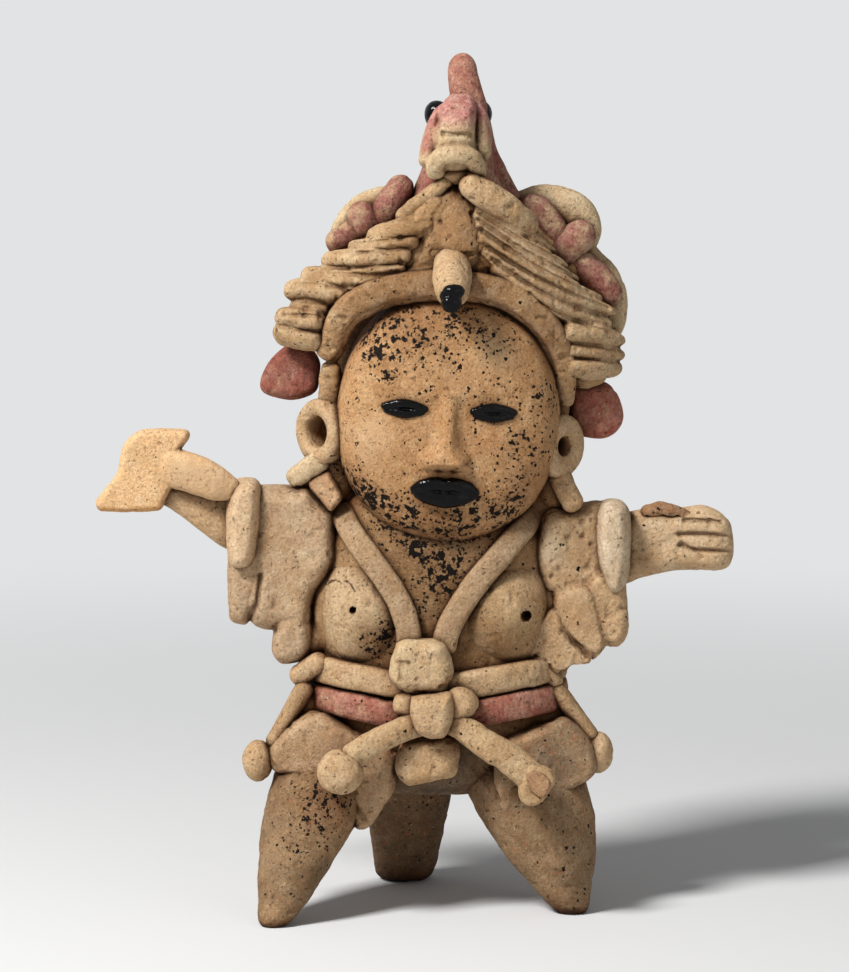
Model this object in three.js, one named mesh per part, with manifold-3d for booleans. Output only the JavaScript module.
// A standing terracotta figure with a bird headdress, built the way the potter built it:
// a hollow body and a hollow head first, then every strip, ball, flap and feather of clay
// laid on in turn. Each later piece is cut to the one it lies on, with a hair of slip between.
// Millimetres, +Z up. The figure faces -Y, and right and left are the figure's own.
import * as THREE from 'three';
import { mergeVertices } from 'three/addons/utils/BufferGeometryUtils.js';
import Module from 'manifold-3d';

const wasm = await Module();
wasm.setup();

// Slip joint and shared cuts
const slipGap = 0.3;
const facetSlack = slipGap / 3;
const overrun = 4;

// Body: a hollow tube of clay, oval in plan, with a neck rim
const bodyHalfWidth = 42;
const bodyHalfDepth = 27;
const pelvisHeight = 37;
const bodyHeight = 113;
const bodyWall = 6;
const bodyOval = 2.4;
const ventBore = 2.2;
const bodySectionShares = [
  [0, 0.5, 0.5], [0.06, 0.82, 0.82], [0.2, 0.94, 0.95], [0.4, 0.97, 0.98],
  [0.62, 1, 1], [0.8, 0.98, 0.95], [0.92, 0.78, 0.8], [1, 0.54, 0.66],
];

// Head: a hollow ball set on the neck rim, leaning a little to the figure's left
const headCentreX = 4;
const headRise = 19;
const headCentreZ = pelvisHeight + bodyHeight + headRise;
const headHalfWidth = 35;
const headHalfDepth = 30;
const headHalfHeight = 43;
const headWall = 6;
const headLean = THREE.MathUtils.degToRad(3);

// Face: a moulded mask over the front of the head
const faceHalfWidth = 37;
const faceHalfHeight = 42;
const faceFront = 34;
const maskShares = [[0.93, 0.05], [1, 0.25], [0.97, 0.5], [0.86, 0.76], [0.62, 0.93], [0.3, 0.995]];
const noseWidth = 14.8;
const noseLength = 27;
const noseHeight = 7;
const mouthWidth = 23;
const mouthHeight = 9;
const eyeSpacing = 30;
const eyeWidth = 15;
const eyeHeight = 5;
const featureLift = 3;

// Headdress: cap, brow band and the bird that lies on it
const capHalfWidth = 41;
const capHalfDepth = 33;
const capHalfHeight = 60;
const bandWidth = 9;
const bandThickness = 8;
const breastHalfWidth = 10;
const breastHalfDepth = 9;
const breastHalfHeight = 15;
const mantleDepth = 30;
const beakDepth = 20;
const lowerBeakHalfWidth = 6;
const lowerBeakHalfDepth = 9;
const lowerBeakHalfHeight = 3.2;
const knobHalfWidth = 5.6;
const knobDepth = 10;
const birdEyeRadius = 4.4;
const pegRadius = 6.2;
const pegTip = 4.6;
const featherWidth = 9.5;
const featherThickness = 7.5;
const wingEdgeWidth = 10;
const coilWidth = 9.6;
const coilThickness = 8;
const twistWidth = 8;
const twistThickness = 6.4;
const flapThickness = 7;

// Ears
const spoolRadius = 10.3;
const spoolLength = 10;
const spoolBoreRight = 9.6;
const spoolBoreLeft = 6;
const spoolTurn = THREE.MathUtils.degToRad(44);
const pendantWidth = 8.6;
const pendantThickness = 7;

// Sleeves, arms and the fan
const sleeveThickness = 21;
const lobeWidth = 16;
const lobeThickness = 13;
const armHeight = 25;
const armDepth = 15;
const cuffWidth = 11.4;
const cuffHeight = 33;
const cuffDepth = 26;
const palmThickness = 13;
const fingerWidth = 6.4;
const fanThickness = 8;
const handleWidth = 13;

// Chest straps, belts and sash
const strapWidth = 8.6;
const strapThickness = 5;
const chestDiscWidth = 26;
const chestDiscHeight = 30;
const chestDiscLift = 3.6;
const buckleWidth = 19;
const buckleHeight = 18;
const buckleThickness = 9;
const beltHeight = 10;
const beltThickness = 4.5;
const lowerBeltThickness = 5.2;
const knotWidth = 13.5;
const knotHeight = 16;
const knotThickness = 12;
const bowWidth = 27;
const bowHeight = 11;
const bowThickness = 7;
const tailWidth = 8.4;
const tailThickness = 6.5;
const tasselRadius = 7;
const hipCordWidth = 6;
const hipBallRadius = 6.2;
const beltEndHalfWidth = 5;
const beltEndHalfHeight = 4.2;
const loinclothThickness = 9;
const kiltThickness = 12;

// Legs: two cones in front and a prop behind, cut flat where they stand
const legFootHalfWidth = 6;
const legTopHalfWidth = 16.5;
const rearFootHalfWidth = 10;
const rearTopHalfWidth = 14.5;

// Finishes
const clay = new THREE.Color('#b9946b');
const paleClay = new THREE.Color('#cdb18a');
const orangeClay = new THREE.Color('#d8a877');
const sootedClay = new THREE.Color('#97785a');
const redPaint = new THREE.Color('#96504c');
const bitumen = new THREE.Color('#12100f');

// Solids: three.js geometry in, a cut solid out
function solid(geometry) {
  const plain = new THREE.BufferGeometry();
  plain.setAttribute('position', geometry.getAttribute('position'));
  plain.setIndex(geometry.getIndex());
  const merged = mergeVertices(plain, slipGap / 1000);
  const index = merged.getIndex().array;
  const triangles = [];
  for (let i = 0; i < index.length; i += 3) {
    const [a, b, c] = [index[i], index[i + 1], index[i + 2]];
    if (a !== b && b !== c && c !== a) triangles.push(a, b, c);
  }
  return new wasm.Manifold(new wasm.Mesh({
    numProp: 3,
    vertProperties: new Float32Array(merged.getAttribute('position').array),
    triVerts: new Uint32Array(triangles),
  }));
}

function largest(shape) {
  const bodies = shape.decompose();
  return bodies.sort((a, b) => b.volume() - a.volume())[0];
}

// The mesh of a solid, centred so that the mesh can be placed by its position
function centredGeometry(shape) {
  const mesh = shape.getMesh();
  const geometry = new THREE.BufferGeometry();
  geometry.setAttribute('position', new THREE.BufferAttribute(new Float32Array(mesh.vertProperties), 3));
  geometry.setIndex(new THREE.BufferAttribute(new Uint32Array(mesh.triVerts), 1));
  geometry.computeBoundingBox();
  const centre = geometry.boundingBox.getCenter(new THREE.Vector3());
  geometry.translate(-centre.x, -centre.y, -centre.z);
  geometry.computeVertexNormals();
  return { geometry, centre };
}

// A closed skin over a list of rings with equal numbers of points, capped at both ends
function loft(rings) {
  const sides = rings[0].length;
  const middle = (ring) => ring.reduce((sum, p) => sum.add(p), new THREE.Vector3()).divideScalar(sides);
  const points = [...rings.flat(), middle(rings[0]), middle(rings[rings.length - 1])];
  const index = [];
  for (let row = 0; row + 1 < rings.length; row += 1) {
    for (let side = 0; side < sides; side += 1) {
      const a = row * sides + side;
      const b = row * sides + (side + 1) % sides;
      index.push(a, b, b + sides, a, b + sides, a + sides);
    }
  }
  const last = (rings.length - 1) * sides;
  for (let side = 0; side < sides; side += 1) {
    const next = (side + 1) % sides;
    index.push(rings.length * sides, next, side);
    index.push(rings.length * sides + 1, last + side, last + next);
  }
  const swept = index.reduce((sum, _, i) => (i % 3 ? sum
    : sum + points[index[i]].dot(points[index[i + 1]].clone().cross(points[index[i + 2]]))), 0);
  const geometry = new THREE.BufferGeometry().setFromPoints(points);
  geometry.setIndex(swept > 0 ? index : index.reverse());
  return geometry;
}

// A ring of points on an oval: power 2 is an ellipse, more is squarer
function oval(centre, across, up, power, sides) {
  const bend = (value) => Math.sign(value) * Math.abs(value) ** (2 / power);
  return Array.from({ length: sides }, (_, side) => {
    const turn = (side + 0.5) / sides * Math.PI * 2;
    return centre.clone()
      .addScaledVector(across, bend(Math.cos(turn)))
      .addScaledVector(up, bend(Math.sin(turn)));
  });
}

const point = (x, y, z) => new THREE.Vector3(x, y, z);
const front = point(0, -1, 0);
const upward = point(0, 0, 1);

// A rolled or flattened strip of clay carried along a smooth route, with rounded ends.
// The width lies across the facing direction. Taper lists the width's share from start to end.
function strand(route, width, thickness, options = {}) {
  const { facing = front, taperShares = [1, 1], sides = 7, steps = 4, power = 2.2, grow = 0 } = options;
  const curve = new THREE.CatmullRomCurve3(route);
  const endShare = Math.min(0.3, width / 2 / curve.getLength());
  const roundShares = sides > 6 ? [[0, 0.55], [endShare * 0.35, 0.86]] : [[0, 0.6]];
  const body = Array.from({ length: steps + 1 }, (_, i) => [endShare + (1 - 2 * endShare) * i / steps, 1]);
  const farShares = roundShares.map(([at, share]) => [1 - at, share]).reverse();
  const stations = [...roundShares, ...body, ...farShares];
  const rings = stations.map(([at, share], row) => {
    const tangent = curve.getTangentAt(at);
    const across = tangent.clone().cross(facing).normalize();
    const lift = across.clone().cross(tangent).normalize();
    const slot = at * (taperShares.length - 1);
    const low = Math.min(Math.floor(slot), taperShares.length - 2);
    const taper = THREE.MathUtils.lerp(taperShares[low], taperShares[low + 1], slot - low);
    const end = row === 0 ? -1 : row === stations.length - 1 ? 1 : 0;
    const centre = curve.getPointAt(at).addScaledVector(tangent, end * grow);
    across.multiplyScalar(width / 2 * share * taper + grow);
    lift.multiplyScalar(thickness / 2 * share * taper + grow);
    return oval(centre, across, lift, power, sides);
  });
  return loft(rings);
}

// A ball or an egg of clay
function ball(centre, radii, grow = 0, sides = 8) {
  const geometry = new THREE.SphereGeometry(1, sides, Math.ceil(sides * 0.65));
  geometry.scale(radii.x + grow, radii.y + grow, radii.z + grow);
  return geometry.translate(centre.x, centre.y, centre.z);
}

// A pillow of clay over an outline in X and Z: rings of the outline, drawn in towards its
// middle as they leave the middle plane. Each profile entry is [outline share, depth share].
const pillowShares = [[0.7, 1], [1, 0.3], [0.97, -0.45], [0.7, -0.92], [0.3, -1.04]];
function pillow(outline, thickness, options = {}) {
  const { grow = 0, profileShares = pillowShares, seat = () => 0 } = options;
  const middle = outline.reduce((sum, p) => sum.add(p), point(0, 0, 0)).divideScalar(outline.length);
  return loft(profileShares.map(([share, depth]) => outline.map((p) => {
    const spoke = p.clone().sub(middle);
    spoke.y = 0;
    const length = spoke.length();
    const at = middle.clone().addScaledVector(spoke, share + grow / length);
    at.y = THREE.MathUtils.lerp(middle.y, p.y, share) + depth * (thickness / 2 + grow) + seat(at.x, at.z);
    return at;
  })));
}

// An outline through chosen points, rounded by a closed curve
function rounded(points, count) {
  return new THREE.CatmullRomCurve3(points, true, 'catmullrom', 0.5).getSpacedPoints(count).slice(0, count);
}

// Places as shares of the body and of the head
const onBody = ([x, y, z]) => point(x * bodyHalfWidth, y * bodyHalfDepth, pelvisHeight + z * bodyHeight);
const onHead = ([x, y, z]) => point(
  headCentreX + x * faceHalfWidth, y * faceFront, headCentreZ + z * faceHalfHeight);
const mapped = (placeShares, place) => placeShares.map(place);

// The body's half width and half depth at a height, and its front skin
function bodySection(z) {
  const share = THREE.MathUtils.clamp((z - pelvisHeight) / bodyHeight, 0, 1);
  const row = Math.max(1, bodySectionShares.findIndex(([height]) => height >= share));
  const [low, high] = [bodySectionShares[row - 1], bodySectionShares[row]];
  const blend = (share - low[0]) / (high[0] - low[0]);
  return [
    THREE.MathUtils.lerp(low[1], high[1], blend) * bodyHalfWidth,
    THREE.MathUtils.lerp(low[2], high[2], blend) * bodyHalfDepth,
  ];
}
function bodyFront(x, z) {
  const [halfWidth, halfDepth] = bodySection(z);
  const across = Math.min(Math.abs(x) / halfWidth, 0.97);
  return -halfDepth * (1 - across ** bodyOval) ** (1 / bodyOval);
}
// A place on the body's front skin, lifted off it by a length
function onSkin([x, z], lift = 0) {
  const at = onBody([x, 0, z]);
  at.y = bodyFront(at.x, at.z) - lift;
  return at;
}

function bodyTube(inset, lowest, highest, sides = 20) {
  const levels = bodySectionShares.map(([height]) => pelvisHeight + height * bodyHeight);
  const kept = [lowest, ...levels.filter((z) => z > lowest && z < highest), highest];
  return loft(kept.map((z) => {
    const [halfWidth, halfDepth] = bodySection(z);
    const [across, deep] = [point(halfWidth - inset, 0, 0), point(0, halfDepth - inset, 0)];
    return oval(point(0, 0, z), across, deep, bodyOval, sides);
  }));
}

// Head-frame helpers: the head and everything on its centre line share one lean
const headCentre = point(headCentreX, 0, headCentreZ);
function leaned(geometry) {
  geometry.translate(-headCentre.x, -headCentre.y, -headCentre.z);
  geometry.rotateY(headLean);
  return geometry.translate(headCentre.x, headCentre.y, headCentre.z);
}
const headBall = (inset, sides) => leaned(ball(headCentre,
  point(headHalfWidth - inset, headHalfDepth - inset, headHalfHeight - inset), 0, sides));
const capBall = (grow) => leaned(ball(
  point(headCentreX, (capHalfDepth - headHalfDepth) + bandThickness / 2, headCentreZ + headHalfHeight / 5),
  point(capHalfWidth, capHalfDepth, capHalfHeight - headHalfHeight / 5), grow, 12));

// The mask's front at a place on the face, read off the mask's own profile
function maskFront(x, z) {
  const across = Math.hypot((x - headCentreX) / faceHalfWidth, (z - headCentreZ) / faceHalfHeight);
  const row = maskShares.findIndex(([share], i) => i > 1 && share <= across);
  if (row < 0) return -faceFront * maskShares[maskShares.length - 1][1];
  const [outer, inner] = [maskShares[row - 1], maskShares[row]];
  const blend = THREE.MathUtils.clamp((outer[0] - across) / (outer[0] - inner[0]), 0, 1);
  return -faceFront * THREE.MathUtils.lerp(outer[1], inner[1], blend);
}

// Chest vents run from the breast discs through the wall into the hollow body
const ventPlaceShares = { right: [-0.669, 0.605], left: [0.714, 0.585] };
function ventCut(side) {
  const at = onSkin(ventPlaceShares[side], chestDiscLift + overrun);
  const length = chestDiscLift + overrun * 3 + bodyWall;
  const cut = new THREE.CylinderGeometry(ventBore / 2, ventBore / 2, length, 8);
  return solid(cut.translate(at.x, at.y + length / 2, at.z));
}

// Body and head
const bodyForm = (grow) => solid(bodyTube(-grow, pelvisHeight - grow, pelvisHeight + bodyHeight + grow));
function hollowBody(shape) {
  const [floor, mouth] = [pelvisHeight + bodyWall, pelvisHeight + bodyHeight + overrun];
  const hollow = solid(bodyTube(bodyWall, floor, mouth, 10));
  return shape.subtract(hollow).subtract(ventCut('right')).subtract(ventCut('left'));
}
const headForm = (grow) => solid(headBall(-grow, 12));
const hollowHead = (shape) => shape.subtract(solid(headBall(headWall, 8)));

// Face
function faceForm(grow) {
  const sides = 18;
  const rings = maskShares.map(([share, depth]) => oval(
    point(headCentreX, -faceFront * depth - grow * Math.sign(depth - 0.5), headCentreZ),
    point(faceHalfWidth * share + grow, 0, 0), point(0, 0, faceHalfHeight * share + grow), 2.1, sides));
  return solid(leaned(loft(rings)));
}
function noseForm(grow) {
  // [down the nose, half width, height off the face]
  const sectionShares = [
    [-0.5, 0.2, 0.1], [-0.2, 0.24, 0.55], [0.15, 0.32, 0.85], [0.36, 0.5, 1], [0.47, 0.42, 0.7],
  ];
  const noseMiddle = headCentreZ - faceHalfHeight * 0.03;
  return solid(leaned(loft(sectionShares.map(([down, across, lift]) => {
    const z = noseMiddle - noseLength * down;
    const root = point(headCentreX, maskFront(headCentreX, z) + featureLift, z);
    const depth = featureLift + noseHeight * lift + grow;
    return oval(root, point(noseWidth * across + grow, 0, 0), point(0, -depth, 0), 2, 10);
  }))));
}
function lipsForm(grow) {
  const z = headCentreZ - faceHalfHeight * 0.52;
  const centre = point(headCentreX, maskFront(headCentreX, z), z);
  return solid(leaned(ball(centre, point(mouthWidth / 2, featureLift, mouthHeight / 2), grow)));
}
const eyeForm = (side) => (grow) => {
  const x = headCentreX + side * eyeSpacing / 2;
  const z = headCentreZ + faceHalfHeight * 0.14;
  const centre = point(x, maskFront(x, z), z);
  return solid(leaned(ball(centre, point(eyeWidth / 2, featureLift, eyeHeight / 2), grow)));
};

// Headdress
const capForm = (grow) => solid(capBall(grow));
const bandRouteShares = [
  [-1.06, -0.35, 0.1], [-1.06, -0.5, 0.45], [-0.9, -0.66, 0.84], [-0.48, -0.76, 1.05],
  [0.02, -0.8, 1.12], [0.5, -0.76, 1.03], [0.93, -0.66, 0.8], [1.09, -0.5, 0.4], [1.03, -0.35, 0.05],
];
const bandForm = (grow) => solid(strand(mapped(bandRouteShares, onHead), bandWidth, bandThickness,
  { grow, steps: 12, power: 3, sides: 8 }));
const breastPlaceShares = [0.1, -0.62, 1.5];
const breastForm = (grow) => solid(ball(onHead(breastPlaceShares),
  point(breastHalfWidth, breastHalfDepth, breastHalfHeight), grow));
function mantleForm(grow) {
  // [height, left edge, right edge, depth] from the cap up to the crest
  const levelShares = [
    [1.36, -0.54, 0.8, 1], [1.66, -0.4, 0.66, 1], [2.01, -0.25, 0.55, 0.95],
    [2.33, -0.14, 0.46, 0.85], [2.56, -0.03, 0.38, 0.7], [2.66, 0.05, 0.3, 0.5],
  ];
  return solid(loft(levelShares.map(([height, left, right, depth]) => {
    const [a, b] = [onHead([left, -0.12, height]), onHead([right, -0.12, height])];
    const across = b.clone().sub(a).multiplyScalar(0.5);
    across.x += grow;
    return oval(a.add(b).multiplyScalar(0.5), across, point(0, mantleDepth / 2 * depth + grow, 0), 2.6, 12);
  })));
}
function upperBeakForm(grow) {
  // [height, middle, half width, depth] from the brow down to the lip
  const levelShares = [
    [2.6, 0.1, 0.1, -0.4], [2.5, 0.11, 0.15, -0.44], [2.33, 0.115, 0.2, -0.54],
    [2.15, 0.115, 0.235, -0.64], [2.05, 0.11, 0.29, -0.78], [1.97, 0.11, 0.27, -0.8],
  ];
  return solid(loft(levelShares.map(([height, middle, half, depth], row) => {
    const centre = onHead([middle, depth, height]);
    const size = beakDepth / 2 * (row === 0 ? 0.6 : 1) + grow;
    return oval(centre, point(half * faceHalfWidth + grow, 0, 0), point(0, size, size / 4), 2.6, 12);
  })));
}
const lowerBeakPlaceShares = [0.106, -0.78, 1.9];
const lowerBeakForm = (grow) => solid(ball(onHead(lowerBeakPlaceShares),
  point(lowerBeakHalfWidth, lowerBeakHalfDepth, lowerBeakHalfHeight), grow));
const knobRouteShares = [[0.24, -0.05, 2.42], [0.19, -0.02, 2.62], [0.13, 0.02, 2.93]];
const knobForm = (grow) => solid(strand(mapped(knobRouteShares, onHead), knobHalfWidth * 2, knobDepth,
  { grow, taperShares: [1.25, 1.05, 0.95], steps: 4, sides: 10 }));
const birdEyePlaceShares = { right: [-0.11, -0.2, 2.47], left: [0.36, -0.08, 2.46] };
const birdEyeForm = (side) => (grow) => solid(ball(onHead(birdEyePlaceShares[side]),
  point(birdEyeRadius, birdEyeRadius, birdEyeRadius * 1.15), grow));
const pegRouteShares = [[0.03, -0.78, 1.32], [0.03, -1.06, 1.19], [0.03, -1.34, 1.04]];
const pegForm = (grow) => solid(strand(mapped(pegRouteShares, onHead), pegRadius * 2, pegRadius * 2,
  { grow, facing: upward, taperShares: [1, 0.95, pegTip / pegRadius], steps: 3, sides: 8, power: 2 }));

// Wings: a thick leading edge and a row of feathers, pressed together at their roots
const wingFeatherShares = {
  right: [
    [[-0.02, -0.7, 1.6], [-0.88, -0.42, 1.42]], [[-0.2, -0.72, 1.45], [-1.06, -0.42, 1.3]],
    [[-0.4, -0.72, 1.3], [-1.27, -0.36, 1.18]], [[-0.62, -0.68, 1.16], [-1.38, -0.3, 1.03]],
    [[-0.82, -0.6, 1.0], [-1.42, -0.24, 0.9]], [[-0.95, -0.45, 0.78], [-1.5, -0.2, 0.76]],
    [[-0.98, -0.3, 0.62], [-1.42, -0.14, 0.66]],
  ],
  left: [
    [[0.26, -0.7, 1.66], [0.88, -0.42, 1.4]], [[0.3, -0.74, 1.52], [1.0, -0.44, 1.24]],
    [[0.4, -0.74, 1.38], [1.12, -0.44, 1.1]], [[0.52, -0.72, 1.22], [1.3, -0.4, 0.98]],
    [[0.74, -0.66, 1.08], [1.42, -0.34, 0.86]], [[0.96, -0.56, 0.84], [1.55, -0.28, 0.6]],
    [[1.06, -0.42, 0.58], [1.5, -0.22, 0.44]],
  ],
};
const wingEdgeShares = {
  right: [[0.02, -0.66, 1.86], [-0.35, -0.56, 1.7], [-0.72, -0.44, 1.5]],
  left: [[0.14, -0.7, 1.93], [0.48, -0.62, 1.75], [0.84, -0.5, 1.48]],
};
const wingForm = (side) => (grow) => {
  const feathers = wingFeatherShares[side].map((route, row) => {
    const [root, tip] = mapped(route, onHead);
    const middle = root.clone().lerp(tip, 0.5);
    middle.y -= featherThickness / 5;
    const last = row === wingFeatherShares[side].length - 1;
    return solid(strand([root, middle, tip], featherWidth, featherThickness,
      { grow, taperShares: [0.8, 1.1, last ? 1.3 : 0.9], steps: 2, sides: 6, power: 2 }));
  });
  const edge = solid(strand(mapped(wingEdgeShares[side], onHead), wingEdgeWidth, featherThickness,
    { grow, taperShares: [0.8, 1, 0.95], steps: 4 }));
  return feathers.reduce((wing, feather) => wing.add(feather), edge);
};

// The twisted bands behind the wings: a pale roll, and red rolls pressed across it
const coilRouteShares = {
  right: [[-0.3, -0.04, 1.5], [-0.38, -0.04, 1.72], [-0.62, -0.04, 1.76], [-0.88, -0.04, 1.68],
    [-0.98, -0.04, 1.45], [-0.92, -0.02, 1.2]],
  left: [[0.62, -0.04, 1.62], [0.9, -0.04, 1.74], [1.16, -0.04, 1.68], [1.27, -0.04, 1.46],
    [1.17, -0.04, 1.26], [1.42, -0.04, 1.14], [1.55, -0.04, 0.92], [1.42, -0.04, 0.66]],
};
const coilForm = (side) => (grow) => solid(strand(mapped(coilRouteShares[side], onHead),
  coilWidth, coilThickness, { grow, steps: 10, power: 2 }));
const twistRouteShares = {
  right: [
    [[-0.42, -0.24, 1.96], [-0.48, -0.24, 1.82], [-0.66, -0.22, 1.62]],
    [[-0.86, -0.16, 1.76], [-0.78, -0.2, 1.66], [-0.6, -0.2, 1.52]],
    [[-1.02, -0.1, 1.42], [-0.9, -0.16, 1.52], [-0.7, -0.2, 1.6]],
  ],
  left: [
    [[0.72, -0.12, 1.74], [0.9, -0.2, 1.6], [1.03, -0.2, 1.4]],
    [[1.26, -0.12, 1.56], [1.12, -0.2, 1.46], [0.98, -0.2, 1.26]],
    [[1.08, -0.2, 1.36], [1.24, -0.18, 1.22], [1.46, -0.1, 0.98]],
  ],
};
const twistForm = (side) => (grow) => {
  const rolls = twistRouteShares[side].map((route) => solid(strand(mapped(route, onHead),
    twistWidth, twistThickness, { grow, steps: 3, sides: 6 })));
  return rolls.reduce((twist, roll) => twist.add(roll));
};

const flapOutlineShares = {
  right: [[-1.36, -0.04, 0.72], [-1.12, -0.04, 0.6], [-1.05, -0.06, 0.3], [-1.15, -0.08, 0.12],
    [-1.42, -0.08, 0.08], [-1.68, -0.08, 0.16], [-1.72, -0.08, 0.28], [-1.6, -0.06, 0.52]],
  left: [[1.1, -0.04, 0.32], [1.4, -0.04, 0.42], [1.58, -0.06, 0.18], [1.63, -0.08, 0],
    [1.56, -0.08, -0.12], [1.4, -0.08, -0.17], [1.15, -0.06, -0.1], [0.98, -0.02, 0.08]],
};
const flapForm = (side) => (grow) => solid(pillow(rounded(mapped(flapOutlineShares[side], onHead), 14),
  flapThickness, { grow }));

// Ears: a turned spool with a bore, and a pendant under it
const spoolPlaceShares = { right: [-1.08, -0.38, -0.06], left: [1.0, -0.38, -0.2] };
const spoolSide = { right: -1, left: 1 };
const spoolBore = { right: spoolBoreRight, left: spoolBoreLeft };
function spoolPlaced(geometry, side) {
  const at = onHead(spoolPlaceShares[side]);
  return geometry.rotateZ(spoolSide[side] * spoolTurn).translate(at.x, at.y, at.z);
}
const spoolForm = (side) => (grow) => {
  const [radius, half] = [spoolRadius + grow, spoolLength / 2 + grow];
  const profile = [
    [0, -half], [radius * 0.88, -half], [radius, -half * 0.7], [radius * 0.94, half], [0, half],
  ];
  const turned = new THREE.LatheGeometry(profile.map(([x, y]) => new THREE.Vector2(x, y)), 14);
  return solid(spoolPlaced(turned, side));
};
const spoolCut = (side) => (shape) => {
  const bore = spoolBore[side] / 2;
  const drill = new THREE.CylinderGeometry(bore, bore, spoolLength + overrun * 3, 10);
  return shape.subtract(solid(spoolPlaced(drill, side)));
};
const pendantRouteShares = {
  right: [[-1.08, -0.42, -0.32], [-1.3, -0.38, -0.4], [-1.52, -0.3, -0.52]],
  left: [[1.02, -0.42, -0.42], [1.1, -0.44, -0.58], [1.18, -0.44, -0.74]],
};
const pendantForm = (side) => (grow) => solid(strand(mapped(pendantRouteShares[side], onHead),
  pendantWidth, pendantThickness, { grow, steps: 3, taperShares: [1, 0.95, 0.9] }));

// Sleeves: capes of clay with a lobed hem, hung from the shoulders
const sleeveOutlineShares = {
  right: [[-1.6, -0.2, 0.965], [-1.1, -0.2, 0.975], [-0.76, -0.3, 0.95], [-0.62, -0.4, 0.8],
    [-0.8, -0.3, 0.64], [-1.15, -0.2, 0.56], [-1.55, -0.2, 0.62], [-1.68, -0.2, 0.78]],
  left: [[0.74, -0.3, 0.9], [1.1, -0.2, 0.91], [1.5, -0.2, 0.9], [1.58, -0.2, 0.76], [1.5, -0.2, 0.62],
    [1.15, -0.2, 0.54], [0.84, -0.3, 0.6], [0.66, -0.4, 0.78]],
};
const lobeRouteShares = {
  right: [[[-1.46, -0.26, 0.8], [-1.5, -0.26, 0.66], [-1.52, -0.24, 0.535]],
    [[-1.2, -0.34, 0.78], [-1.22, -0.34, 0.64], [-1.25, -0.32, 0.51]],
    [[-0.96, -0.34, 0.7], [-1.02, -0.32, 0.56], [-1.08, -0.28, 0.42]]],
  left: [[[1.42, -0.26, 0.78], [1.44, -0.26, 0.66], [1.46, -0.24, 0.51]],
    [[1.16, -0.34, 0.76], [1.2, -0.34, 0.6], [1.24, -0.32, 0.44]],
    [[0.96, -0.36, 0.74], [0.98, -0.34, 0.6], [1.0, -0.3, 0.44]]],
};
const sleeveForm = (side) => (grow) => {
  const outline = rounded(mapped(sleeveOutlineShares[side], onBody), 14);
  const lobes = lobeRouteShares[side].map((route) => solid(strand(mapped(route, onBody),
    lobeWidth, lobeThickness, { grow, taperShares: [1, 1.05, 0.9], steps: 2, sides: 6 })));
  const cape = solid(pillow(outline, sleeveThickness, { grow }));
  return lobes.reduce((sleeve, lobe) => sleeve.add(lobe), cape);
};

// Arms: the right one holds the fan out, the left one shows its open hand
const armRouteShares = {
  right: [[-1.35, -0.2, 0.82], [-1.72, -0.22, 0.87], [-1.98, -0.24, 0.93], [-2.2, -0.26, 0.965]],
  left: [[1.3, -0.2, 0.76], [1.62, -0.2, 0.76], [1.95, -0.2, 0.785], [2.2, -0.2, 0.79]],
};
const rightArmForm = (grow) => solid(strand(mapped(armRouteShares.right, onBody), armHeight, armDepth,
  { grow, taperShares: [1, 1, 0.62, 0.4], steps: 5, sides: 8 }));
const fingerRouteShares = [
  [[1.9, -0.28, 0.855], [2.1, -0.26, 0.858], [2.34, -0.22, 0.845]],
  [[1.94, -0.3, 0.81], [2.16, -0.28, 0.812], [2.42, -0.24, 0.803]],
  [[1.94, -0.3, 0.765], [2.16, -0.28, 0.768], [2.42, -0.24, 0.76]],
  [[1.9, -0.28, 0.722], [2.1, -0.26, 0.725], [2.36, -0.22, 0.718]],
];
const thumbRouteShares = [[1.6, -0.3, 0.85], [1.74, -0.34, 0.885], [1.92, -0.32, 0.885]];
const leftArmForm = (grow) => {
  const arm = solid(strand(mapped(armRouteShares.left, onBody), armHeight, palmThickness,
    { grow, taperShares: [1.06, 1, 0.96, 0.94], steps: 3, sides: 8, power: 2.6 }));
  const fingers = [...fingerRouteShares, thumbRouteShares].map((route) => solid(strand(
    mapped(route, onBody), fingerWidth, palmThickness * 0.7, { grow, steps: 2, sides: 6, power: 2 })));
  return fingers.reduce((hand, finger) => hand.add(finger), arm);
};
// Each cuff stands at the outer edge of its sleeve, let into it by a share of the cuff's width
const cuffPlaceShares = { right: [-1.68, -0.24, 0.85], left: [1.58, -0.22, 0.75] };
const cuffInsetShares = { right: 0.39, left: -0.555 };
const cuffForm = (side) => (grow) => {
  const centre = onBody(cuffPlaceShares[side]);
  centre.x += cuffInsetShares[side] * cuffWidth;
  const [across, deep, tall] = [cuffWidth / 2, cuffDepth / 2, cuffHeight / 2];
  const edgeShares = [[-1, 0.82], [-0.5, 0.98], [0.5, 0.98], [1, 0.82]];
  const rings = edgeShares.map(([offset, share]) => oval(
    point(centre.x + offset * (across + grow), centre.y, centre.z),
    point(0, deep * share + grow, 0), point(0, 0, tall * share + grow), 2.3, 12));
  return solid(loft(rings));
};
const fanBladeShares = [
  [-2.66, 0.935], [-2.74, 0.885], [-2.6, 0.872], [-2.28, 0.872], [-2.2, 0.9], [-2.16, 0.95], [-2.02, 0.975],
  [-1.98, 1.03], [-2.06, 1.07], [-2.0, 1.12], [-2.08, 1.135], [-2.4, 1.13], [-2.56, 1.08], [-2.6, 1.03],
];
const fanPlaneShare = -0.34;
const handleRouteShares = [[-2.26, fanPlaneShare, 1.0], [-1.96, -0.46, 1.0], [-1.68, -0.6, 0.945]];
const fanForm = (grow) => {
  const outline = fanBladeShares.map(([x, z]) => onBody([x, fanPlaneShare, z]));
  const blade = solid(pillow(outline, fanThickness, { grow }));
  const handle = solid(strand(mapped(handleRouteShares, onBody),
    handleWidth, fanThickness, { grow, steps: 3, taperShares: [1.1, 1.1, 0.8] }));
  return blade.add(handle);
};

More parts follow.
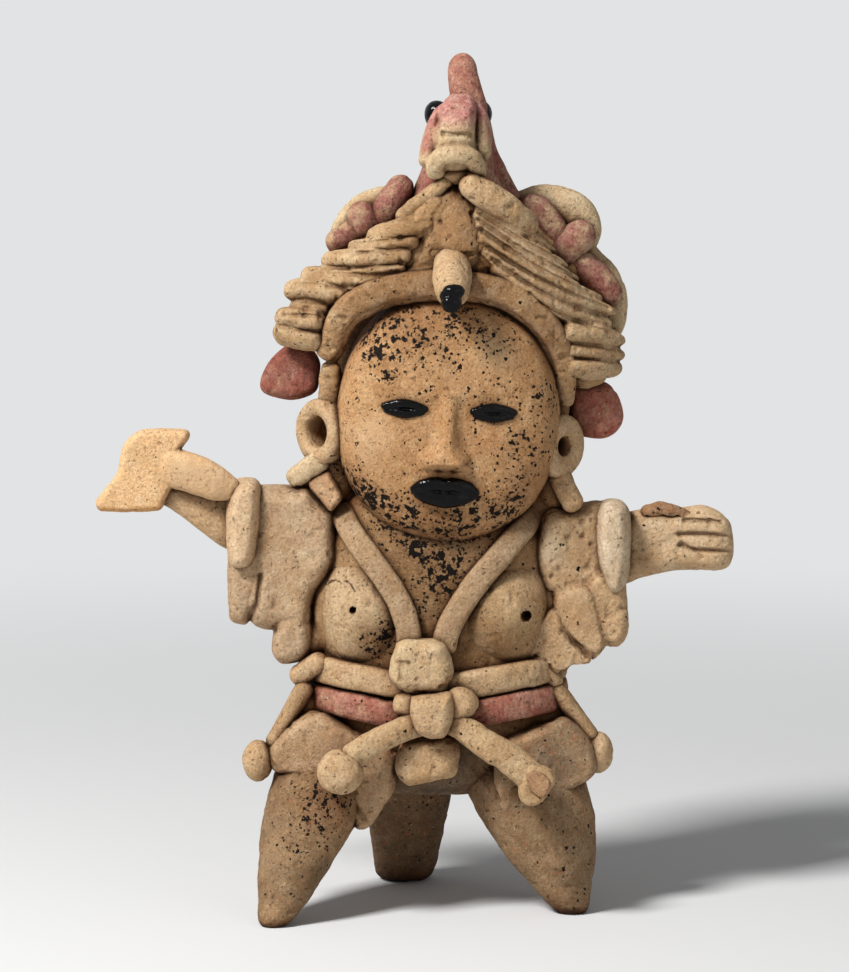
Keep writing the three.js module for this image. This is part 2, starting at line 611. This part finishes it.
// Chest: straps, breast discs and buckle, all bedded on the body's front skin
const strapRouteShares = {
  right: [[-0.86, 0.94], [-0.72, 0.885], [-0.54, 0.8], [-0.36, 0.69], [-0.25, 0.59], [-0.2, 0.5]],
  left: [[0.92, 0.95], [0.69, 0.855], [0.45, 0.75], [0.22, 0.635], [0.09, 0.55], [0.04, 0.48]],
};
const strapForm = (side) => (grow) => {
  const route = strapRouteShares[side].map((place) => onSkin(place, strapThickness / 4));
  return solid(strand(route, strapWidth, strapThickness, { grow, steps: 6, power: 3, sides: 8 }));
};
const chestDiscPlaceShares = { right: [-0.64, 0.6], left: [0.66, 0.6] };
const slabOutline = (at, width, height, power) => oval(
  at, point(width / 2, 0, 0), point(0, 0, height / 2), power, 12);
const chestDiscForm = (side) => (grow) => {
  const middle = onSkin(chestDiscPlaceShares[side]).setY(0);
  const outline = slabOutline(middle, chestDiscWidth, chestDiscHeight, 2);
  return solid(pillow(outline, chestDiscLift * 2, { grow, seat: bodyFront }));
};
const chestDiscCut = (side) => (shape) => shape.subtract(ventCut(side));
const bucklePlaceShares = [-0.118, 0.443];
const buckleForm = (grow) => solid(pillow(slabOutline(onSkin(bucklePlaceShares, strapThickness / 2),
  buckleWidth, buckleHeight, 4), buckleThickness, { grow }));

// Belts: two bands round the body, one above the other
function beltForm(bottomShare, thickness) {
  return (grow) => {
    const bottom = pelvisHeight + bodyHeight * bottomShare;
    return solid(bodyTube(-thickness - grow, bottom - grow, bottom + beltHeight + grow));
  };
}
const lowerBeltShare = 0.27;
const upperBeltShare = lowerBeltShare + (beltHeight + slipGap) / bodyHeight;
const ringCut = (shape) => shape.subtract(bodyForm(slipGap));

// Knot, bow loops and sash tails
const knotPlaceShares = [-0.05, 0.305];
const knotForm = (grow) => {
  const middle = onSkin(knotPlaceShares, beltThickness + knotThickness / 4);
  return solid(pillow(slabOutline(middle, knotWidth, knotHeight, 2.6), knotThickness, { grow }));
};
const bowPlaceShares = [-0.04, 0.335];
const bowForm = (grow) => {
  const middle = onSkin(bowPlaceShares, beltThickness + bowThickness / 4);
  const route = [-1, -0.5, 0, 0.5, 1].map((step) => middle.clone().add(point(step * bowWidth / 2, 0, 0)));
  return solid(strand(route, bowHeight, bowThickness,
    { grow, taperShares: [0.85, 1, 0.6, 1, 0.85], steps: 6 }));
};
const tailRouteShares = {
  right: [[-0.06, -1.2, 0.262], [-0.28, -1.3, 0.24], [-0.5, -1.34, 0.2], [-0.7, -1.38, 0.155]],
  left: [[0.04, -1.2, 0.28], [0.25, -1.28, 0.245], [0.48, -1.32, 0.18], [0.8, -1.36, 0.09]],
};
const tailForm = (side) => (grow) => solid(strand(mapped(tailRouteShares[side], onBody),
  tailWidth, tailThickness, { grow, steps: 5, taperShares: side === 'left' ? [0.9, 1, 1.25] : [1, 1] }));
const tasselPlaceShares = [-0.79, -1.4, 0.13];
const tasselForm = (grow) => solid(ball(onBody(tasselPlaceShares),
  point(tasselRadius, tasselRadius, tasselRadius), grow));

// Hips: cords with balls at the sides, belt ends, loincloth and kilt panels
const hipCordRouteShares = {
  right: [[-1.0, -0.6, 0.39], [-1.14, -0.62, 0.3], [-1.34, -0.68, 0.19]],
  left: [[1.0, -0.55, 0.38], [1.14, -0.58, 0.29], [1.28, -0.62, 0.2]],
};
const hipCordForm = (side) => (grow) => solid(strand(mapped(hipCordRouteShares[side], onBody),
  hipCordWidth, hipCordWidth, { grow, steps: 3, sides: 6 }));
const hipBallPlaceShares = { right: [-1.4, -0.7, 0.126], left: [1.32, -0.64, 0.14] };
const hipBallForm = (side) => (grow) => solid(ball(onBody(hipBallPlaceShares[side]),
  point(hipBallRadius, hipBallRadius, hipBallRadius * 1.1), grow));
const beltEndPlaceShares = { right: [-1.06, -0.55, 0.41], left: [1.0, -0.5, 0.415] };
const beltEndForm = (side) => (grow) => solid(ball(onBody(beltEndPlaceShares[side]),
  point(beltEndHalfWidth, beltEndHalfWidth, beltEndHalfHeight), grow));
const loinclothOutlineShares = [
  [-0.34, -1.05, 0.25], [0.15, -1.05, 0.25], [0.2, -1.1, 0.17], [0.12, -1.1, 0.09], [-0.08, -1.1, 0.07],
  [-0.28, -1.1, 0.085], [-0.37, -1.1, 0.16],
];
const loinclothForm = (grow) => solid(pillow(rounded(mapped(loinclothOutlineShares, onBody), 12),
  loinclothThickness, { grow }));
const kiltOutlineShares = {
  right: [[-0.98, -0.7, 0.3], [-0.7, -0.85, 0.26], [-0.5, -0.95, 0.2], [-0.5, -1, 0.1], [-0.68, -1, 0.01],
    [-0.86, -0.95, 0.04], [-1.08, -0.85, 0.085], [-1.34, -0.72, 0.1], [-1.42, -0.7, 0.16],
    [-1.2, -0.68, 0.25]],
  left: [[0.9, -0.7, 0.3], [1.16, -0.62, 0.22], [1.3, -0.64, 0.14], [1.22, -0.72, 0.07],
    [0.88, -0.85, 0.02], [0.66, -0.95, 0.07], [0.5, -1, 0.15], [0.46, -0.95, 0.23], [0.7, -0.85, 0.28]],
};
const kiltForm = (side) => (grow) => solid(pillow(rounded(mapped(kiltOutlineShares[side], onBody), 14),
  kiltThickness, { grow }));

// Legs: cones from hip to foot, with the foot cut level with the ground
const legShares = {
  right: { hip: [-0.72, -0.25, 0.16], foot: [-1.29, -1.5] },
  left: { hip: [0.74, -0.2, 0.12], foot: [1.095, -0.72] },
  rear: { hip: [-0.2, 0.5, 0.1], foot: [-0.267, 1.35] },
};
const legForm = (side, topHalfWidth, footHalfWidth) => (grow) => {
  const { hip, foot } = legShares[side];
  const [top, sole] = [onBody(hip), point(foot[0] * bodyHalfWidth, foot[1] * bodyHalfDepth, -grow)];
  const bulgeShares = [[1, 0.6], [0.86, 1], [0.62, 0.98], [0.34, 0.62], [0.12, 0.2], [0, 0]];
  return solid(loft(bulgeShares.map(([up, fat]) => {
    const half = THREE.MathUtils.lerp(footHalfWidth, topHalfWidth, fat) + grow;
    return oval(sole.clone().lerp(top, up), point(half, 0, 0), point(0, half, 0), 2, 14);
  })));
};

// Laying order: every piece is cut by the ones above it in this list
const pieces = [
  ['torso_shell', clay, bodyForm, hollowBody],
  ['leg_right', sootedClay, legForm('right', legTopHalfWidth, legFootHalfWidth)],
  ['leg_left', sootedClay, legForm('left', legTopHalfWidth, legFootHalfWidth)],
  ['leg_rear', sootedClay, legForm('rear', rearTopHalfWidth, rearFootHalfWidth)],
  ['head_shell', clay, headForm, hollowHead],
  ['face_plate', clay, faceForm],
  ['nose', clay, noseForm],
  ['lips', bitumen, lipsForm],
  ['eyelid_right', bitumen, eyeForm(-1)],
  ['eyelid_left', bitumen, eyeForm(1)],
  ['headdress_cap', clay, capForm],
  ['brow_band', clay, bandForm],
  ['ear_spool_right', clay, spoolForm('right'), spoolCut('right')],
  ['ear_spool_left', clay, spoolForm('left'), spoolCut('left')],
  ['crest_mantle', redPaint, mantleForm],
  ['bird_breast', clay, breastForm],
  ['bird_upper_beak', paleClay, upperBeakForm],
  ['bird_lower_beak', paleClay, lowerBeakForm],
  ['crest_knob', redPaint, knobForm],
  ['bird_eye_right', bitumen, birdEyeForm('right')],
  ['bird_eye_left', bitumen, birdEyeForm('left')],
  ['brow_peg', clay, pegForm],
  ['wing_right', paleClay, wingForm('right')],
  ['wing_left', paleClay, wingForm('left')],
  ['side_flap_right', redPaint, flapForm('right')],
  ['side_flap_left', redPaint, flapForm('left')],
  ['coil_right', paleClay, coilForm('right')],
  ['coil_left', paleClay, coilForm('left')],
  ['twist_right', redPaint, twistForm('right')],
  ['twist_left', redPaint, twistForm('left')],
  ['ear_pendant_right', paleClay, pendantForm('right')],
  ['ear_pendant_left', clay, pendantForm('left')],
  ['sleeve_right', clay, sleeveForm('right')],
  ['sleeve_left', clay, sleeveForm('left')],
  ['forearm_right', clay, rightArmForm],
  ['hand_left', clay, leftArmForm],
  ['cuff_right', clay, cuffForm('right')],
  ['cuff_left', paleClay, cuffForm('left')],
  ['fan_blade', orangeClay, fanForm],
  ['belt_upper', clay, beltForm(upperBeltShare, beltThickness), ringCut],
  ['belt_lower', redPaint, beltForm(lowerBeltShare, lowerBeltThickness), ringCut],
  ['strap_right', paleClay, strapForm('right')],
  ['strap_left', paleClay, strapForm('left')],
  ['breast_right', clay, chestDiscForm('right'), chestDiscCut('right')],
  ['breast_left', clay, chestDiscForm('left'), chestDiscCut('left')],
  ['buckle', paleClay, buckleForm],
  ['knot_bow', clay, bowForm],
  ['knot', clay, knotForm],
  ['kilt_panel_right', clay, kiltForm('right')],
  ['kilt_panel_left', clay, kiltForm('left')],
  ['loincloth', clay, loinclothForm],
  ['sash_tail_right', clay, tailForm('right')],
  ['sash_tail_left', clay, tailForm('left')],
  ['tassel_ball', clay, tasselForm],
  ['belt_end_right', clay, beltEndForm('right')],
  ['belt_end_left', clay, beltEndForm('left')],
  ['hip_cord_right', clay, hipCordForm('right')],
  ['hip_cord_left', clay, hipCordForm('left')],
  ['hip_ball_right', clay, hipBallForm('right')],
  ['hip_ball_left', clay, hipBallForm('left')],
];

const meets = (a, b) => [0, 1, 2].every((axis) => (
  a.min[axis] < b.max[axis] && b.min[axis] < a.max[axis]));

// The figure, standing over the middle of its own footprint
const figure = new THREE.Group();
const laid = [];
for (const [name, colour, form, finish = (shape) => shape] of pieces) {
  let shape = form(0);
  const box = shape.boundingBox();
  for (const earlier of laid) {
    if (meets(box, earlier.box)) shape = shape.subtract(earlier.grown);
  }
  shape = largest(finish(shape).simplify(facetSlack));
  const grown = form(slipGap);
  laid.push({ grown, box: grown.boundingBox() });
  const { geometry, centre } = centredGeometry(shape);
  const material = new THREE.MeshStandardMaterial({
    color: colour, roughness: colour === bitumen ? 0.25 : 0.85, metalness: 0,
  });
  const mesh = new THREE.Mesh(geometry, material);
  mesh.name = name;
  mesh.position.copy(centre);
  figure.add(mesh);
}
const box = new THREE.Box3().setFromObject(figure);
const middle = box.getCenter(point(0, 0, 0));
figure.position.set(-middle.x, -middle.y, -box.min.z);

export default figure;
